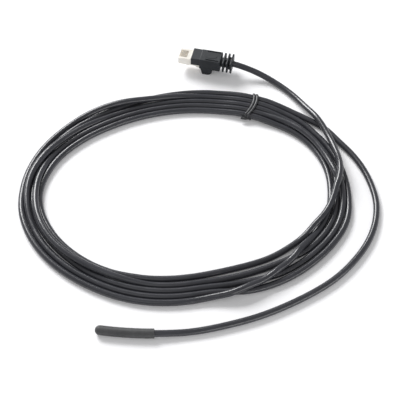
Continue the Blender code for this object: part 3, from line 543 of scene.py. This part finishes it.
def make_tie(coil, finish):
    """The wire-cored tie: a strip wound twice round the strands, its two ends twisted together."""
    strands = coil.strands_at(TIE_ANGLE) * MM
    centres = strands - (strands[:, 0].mean(), 0)
    path = tie_path(centres)
    band = loft("tie_band", wind_tie(coil, path))
    band.data.materials.append(finish)

    wall = path[:, 0].min()
    height = strands[np.argmin(centres[:, 0]), 1]
    for half, name in ((-1, "tie_end_1"), (1, "tie_end_2")):
        tail = loft(name, twist_tie_end(coil, half, wall, height))
        tail.data.materials.append(finish)
        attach(tail, "probe")
        tail.parent = band
    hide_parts("tie")
    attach(band, "probe")
    return band


def beside_coil(coil, shift, across, up):
    """A point given along the coil from the tie, across its bundle and up, kept beside the strands."""
    middle = coil.strands_at(TIE_ANGLE)[:, 0].mean()
    angle = TIE_ANGLE + math.degrees(shift / MM / middle)
    radius = coil.strands_at(angle)[:, 0].mean() * MM + across
    turned = math.radians(angle)
    return (
        COIL_CENTRE[0] * MM + radius * math.cos(turned),
        COIL_CENTRE[1] * MM + radius * math.sin(turned),
        up,
    )


class Finish:
    """A Principled material whose colour, roughness and bump come from procedural nodes."""

    def __init__(self, name, metallic=0.0, ior=1.5):
        self.made = bpy.data.materials.new(name)
        self.made.use_nodes = True
        self.nodes = self.made.node_tree.nodes
        self.links = self.made.node_tree.links
        self.shader = self.nodes["Principled BSDF"]
        self.shader.inputs["Metallic"].default_value = metallic
        self.shader.inputs["IOR"].default_value = ior
        self.place = self.nodes.new("ShaderNodeTexCoord").outputs["Object"]

    def stretched(self, scale):
        mapping = self.nodes.new("ShaderNodeMapping")
        mapping.inputs["Scale"].default_value = scale
        self.links.new(self.place, mapping.inputs["Vector"])
        return mapping.outputs["Vector"]

    def noise(self, scale, detail=3.0, stretch=None):
        made = self.nodes.new("ShaderNodeTexNoise")
        made.inputs["Scale"].default_value = scale
        made.inputs["Detail"].default_value = detail
        made.inputs["Roughness"].default_value = NOISE_ROUGHNESS
        self.links.new(self.stretched(stretch) if stretch else self.place, made.inputs["Vector"])
        return made.outputs["Fac"]

    def cells(self, scale):
        made = self.nodes.new("ShaderNodeTexVoronoi")
        made.inputs["Scale"].default_value = scale
        self.links.new(self.place, made.inputs["Vector"])
        return made.outputs["Distance"]

    def ramp(self, source, low, high):
        made = self.nodes.new("ShaderNodeValToRGB")
        for element, position, colour in zip(made.color_ramp.elements, RAMP_RANGE, (low, high)):
            element.position = position
            element.color = colour
        self.links.new(source, made.inputs["Fac"])
        return made.outputs["Color"]

    def scaled(self, source, low, high):
        made = self.nodes.new("ShaderNodeMapRange")
        made.inputs["From Min"].default_value, made.inputs["From Max"].default_value = NOISE_RANGE
        made.inputs["To Min"].default_value = low
        made.inputs["To Max"].default_value = high
        self.links.new(source, made.inputs["Value"])
        return made.outputs["Result"]

    def colour(self, source, low, high):
        made = self.ramp(source, (*low, 1.0), (*high, 1.0))
        self.links.new(made, self.shader.inputs["Base Color"])

    def roughness(self, source, low, high):
        self.links.new(self.scaled(source, low, high), self.shader.inputs["Roughness"])

    def bump(self, source, depth, under=None):
        made = self.nodes.new("ShaderNodeBump")
        made.inputs["Strength"].default_value = 1.0
        made.inputs["Distance"].default_value = depth
        self.links.new(source, made.inputs["Height"])
        if under:
            self.links.new(under, made.inputs["Normal"])
        return made.outputs["Normal"]

    def normal(self, source):
        self.links.new(source, self.shader.inputs["Normal"])


def jacket_finish():
    """Extruded black PVC: satin, with a faint die texture and handling marks."""
    finish = Finish("jacket_pvc", ior=1.52)
    blotches = finish.noise(55.0, detail=4.0)
    grain = finish.noise(2600.0, detail=2.0)
    finish.colour(blotches, (0.030, 0.031, 0.037), (0.041, 0.042, 0.050))
    finish.roughness(finish.noise(240.0, detail=4.0), 0.19, 0.28)
    finish.normal(finish.bump(grain, 0.02 * MM, under=finish.bump(blotches, 0.12 * MM)))
    return finish.made


def sleeve_finish():
    """Matt heat-shrunk polyolefin, slightly puckered."""
    finish = Finish("sleeve_polyolefin")
    blotches = finish.noise(130.0, detail=5.0)
    grain = finish.noise(1800.0, detail=3.0)
    finish.colour(blotches, (0.040, 0.041, 0.043), (0.066, 0.067, 0.069))
    finish.roughness(finish.noise(420.0), 0.48, 0.64)
    finish.normal(finish.bump(grain, 0.05 * MM, under=finish.bump(blotches, 0.2 * MM)))
    return finish.made


def boot_finish():
    """Moulded black elastomer with the fine etched grain of its mould."""
    finish = Finish("boot_elastomer")
    blotches = finish.noise(90.0, detail=4.0)
    grain = finish.noise(3200.0, detail=2.0)
    finish.colour(blotches, (0.012, 0.0145, 0.018), (0.020, 0.0235, 0.028))
    finish.roughness(finish.noise(500.0), 0.42, 0.56)
    finish.shader.inputs["Specular IOR Level"].default_value = 0.32
    finish.normal(finish.bump(grain, 0.04 * MM, under=finish.bump(blotches, 0.08 * MM)))
    return finish.made


def tie_finish():
    """Black PVC ribbon drawn over a wire."""
    finish = Finish("tie_pvc")
    streaks = finish.noise(700.0, detail=3.0)
    finish.colour(streaks, (0.024, 0.025, 0.028), (0.040, 0.041, 0.045))
    finish.roughness(finish.noise(1100.0), 0.38, 0.50)
    finish.normal(finish.bump(streaks, 0.04 * MM))
    return finish.made


def resin_finish():
    """Cast dark epoxy with a few tiny bubbles at its face."""
    finish = Finish("tip_epoxy", ior=1.55)
    clouds = finish.noise(300.0, detail=4.0)
    finish.colour(clouds, (0.030, 0.031, 0.034), (0.055, 0.056, 0.060))
    finish.roughness(clouds, 0.22, 0.38)
    finish.normal(finish.bump(finish.cells(900.0), 0.05 * MM))
    return finish.made


def bead_finish():
    """Amber glass over the sensing chip."""
    finish = Finish("bead_glass", ior=1.52)
    clouds = finish.noise(900.0, detail=3.0)
    finish.colour(clouds, (0.20, 0.085, 0.025), (0.34, 0.17, 0.06))
    finish.roughness(clouds, 0.06, 0.16)
    finish.normal(finish.bump(clouds, 0.02 * MM))
    return finish.made


def wire_finish():
    """Tinned copper leg with drawing streaks."""
    finish = Finish("leg_tinned", metallic=1.0)
    streaks = finish.noise(4000.0, detail=2.0, stretch=(0.04, 1.0, 1.0))
    finish.colour(streaks, (0.50, 0.49, 0.47), (0.66, 0.65, 0.62))
    finish.roughness(streaks, 0.22, 0.42)
    finish.normal(finish.bump(streaks, 0.01 * MM))
    return finish.made


def splice_finish():
    """Thin red sleeving over the soldered splices."""
    finish = Finish("splice_sleeving")
    clouds = finish.noise(900.0, detail=3.0)
    finish.colour(clouds, (0.22, 0.018, 0.014), (0.34, 0.035, 0.024))
    finish.roughness(clouds, 0.4, 0.55)
    finish.normal(finish.bump(clouds, 0.04 * MM))
    return finish.made


def core_finish():
    """White core insulation."""
    finish = Finish("core_insulation")
    clouds = finish.noise(1200.0, detail=3.0)
    finish.colour(clouds, (0.62, 0.61, 0.58), (0.74, 0.73, 0.70))
    finish.roughness(clouds, 0.36, 0.5)
    finish.normal(finish.bump(clouds, 0.02 * MM))
    return finish.made


def clear_finish():
    """Clear polycarbonate of the plug, faintly warm, with flow marks from moulding."""
    finish = Finish("plug_polycarbonate", ior=1.58)
    flow = finish.noise(320.0, detail=3.0, stretch=(0.4, 1.0, 1.0))
    finish.colour(flow, (0.99, 0.945, 0.865), (1.0, 0.975, 0.92))
    finish.roughness(flow, 0.10, 0.18)
    finish.shader.inputs["Transmission Weight"].default_value = 0.14
    finish.normal(finish.bump(flow, 0.03 * MM))
    return finish.made


def contact_finish():
    """Gold-plated phosphor bronze, rubbed along the blade."""
    finish = Finish("contact_gold", metallic=1.0)
    streaks = finish.noise(3000.0, detail=2.0, stretch=(0.05, 1.0, 1.0))
    finish.colour(streaks, (0.30, 0.22, 0.12), (0.46, 0.36, 0.22))
    finish.roughness(streaks, 0.16, 0.34)
    finish.normal(finish.bump(streaks, 0.01 * MM))
    return finish.made


def finish_node(frame, name, finish):
    """Gives a carried-over piece its finish, in every slot it has."""
    mesh = frame["nodes"][name].data
    if not mesh.materials:
        mesh.materials.append(finish)
    for slot in frame["nodes"][name].material_slots:
        slot.material = finish


def make_floor():
    """A plain white floor that looks white to the camera and still takes the object's shadow."""
    bm = bmesh.new()
    bm.faces.new([
        bm.verts.new((x * FLOOR_HALF, y * FLOOR_HALF, FLOOR_HEIGHT))
        for x, y in ((-1, -1), (1, -1), (1, 1), (-1, 1))
    ])
    mesh = bpy.data.meshes.new("floor")
    bm.to_mesh(mesh)
    bm.free()
    floor = bpy.data.objects.new("floor", mesh)
    bpy.context.scene.collection.objects.link(floor)
    paint = bpy.data.materials.new("floor_white")
    paint.use_nodes = True
    nodes, links = paint.node_tree.nodes, paint.node_tree.links
    shader = nodes["Principled BSDF"]
    shader.inputs["Base Color"].default_value = FLOOR_COLOUR
    shader.inputs["Roughness"].default_value = FLOOR_ROUGHNESS
    shader.inputs["Specular IOR Level"].default_value = 0.0
    glow = nodes.new("ShaderNodeEmission")
    glow.inputs["Color"].default_value = WHITE
    links.new(seen_directly(nodes, links, FLOOR_GLOW), glow.inputs["Strength"])
    both = nodes.new("ShaderNodeAddShader")
    links.new(shader.outputs["BSDF"], both.inputs[0])
    links.new(glow.outputs["Emission"], both.inputs[1])
    links.new(both.outputs["Shader"], nodes["Material Output"].inputs["Surface"])
    mesh.materials.append(paint)


def seen_directly(nodes, links, level):
    """The level for rays from the camera, also through glass or off gloss, and 0 for the object's light."""
    path = nodes.new("ShaderNodeLightPath")
    total = path.outputs["Is Camera Ray"]
    for name in ("Is Glossy Ray", "Is Transmission Ray"):
        highest = nodes.new("ShaderNodeMath")
        highest.operation = "MAXIMUM"
        links.new(total, highest.inputs[0])
        links.new(path.outputs[name], highest.inputs[1])
        total = highest.outputs["Value"]
    times = nodes.new("ShaderNodeMath")
    times.operation = "MULTIPLY"
    links.new(total, times.inputs[0])
    times.inputs[1].default_value = level
    return times.outputs["Value"]


def make_world():
    """A white world: the camera sees it at full level, and it fills the object's shadows at a lower one."""
    world = bpy.data.worlds.new("studio")
    bpy.context.scene.world = world
    world.use_nodes = True
    nodes, links = world.node_tree.nodes, world.node_tree.links
    background = nodes["Background"]
    background.inputs["Color"].default_value = WHITE
    path = nodes.new("ShaderNodeLightPath")
    level = nodes.new("ShaderNodeMapRange")
    level.inputs["To Min"].default_value = WORLD_LEVEL
    level.inputs["To Max"].default_value = 1.0
    links.new(path.outputs["Is Camera Ray"], level.inputs["Value"])
    links.new(level.outputs["Result"], background.inputs["Strength"])


def aimed(place, aim):
    """The rotation that turns a lamp or camera at a place towards its aim."""
    return (Vector(aim) - Vector(place)).to_track_quat("-Z", "Y").to_euler()


def add_softbox(name, place, size, power):
    lamp = bpy.data.lights.new(name, "AREA")
    lamp.shape = "RECTANGLE"
    lamp.size, lamp.size_y = size
    lamp.energy = power
    made = bpy.data.objects.new(name, lamp)
    made.location = place
    made.rotation_euler = aimed(place, LIGHTS_AIM)
    bpy.context.scene.collection.objects.link(made)


def make_camera():
    camera = bpy.data.cameras.new("camera")
    camera.lens = CAMERA_LENS
    camera.sensor_width = SENSOR_WIDTH
    camera.clip_start = CAMERA_NEAR_LIMIT
    made = bpy.data.objects.new("camera", camera)
    made.location = CAMERA_PLACE
    made.rotation_euler = aimed(CAMERA_PLACE, CAMERA_AIM)
    bpy.context.scene.collection.objects.link(made)
    bpy.context.scene.camera = made


def main():
    clear_scene()
    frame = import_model()
    bpy.context.scene.view_settings.view_transform = "Standard"
    make_camera()

    coil = Coil()
    lead = make_cord(coil, jacket_finish())
    tie = make_tie(coil, tie_finish())

    for names, finish in (
        (("probe_sleeve",), sleeve_finish()),
        (("tip_resin",), resin_finish()),
        (("sensing_bead",), bead_finish()),
        (("bead_leg_1", "bead_leg_2"), wire_finish()),
        (("splice_sleeve_1", "splice_sleeve_2"), splice_finish()),
        (("probe_core_1", "probe_core_2", "plug_core_1", "plug_core_2"), core_finish()),
        (("plug_housing", "release_latch"), clear_finish()),
        (CONTACTS, contact_finish()),
        (("boot",), boot_finish()),
    ):
        for name in names:
            finish_node(frame, name, finish)

    make_floor()
    make_world()
    for lamp in LIGHTS:
        add_softbox(*lamp)


main()
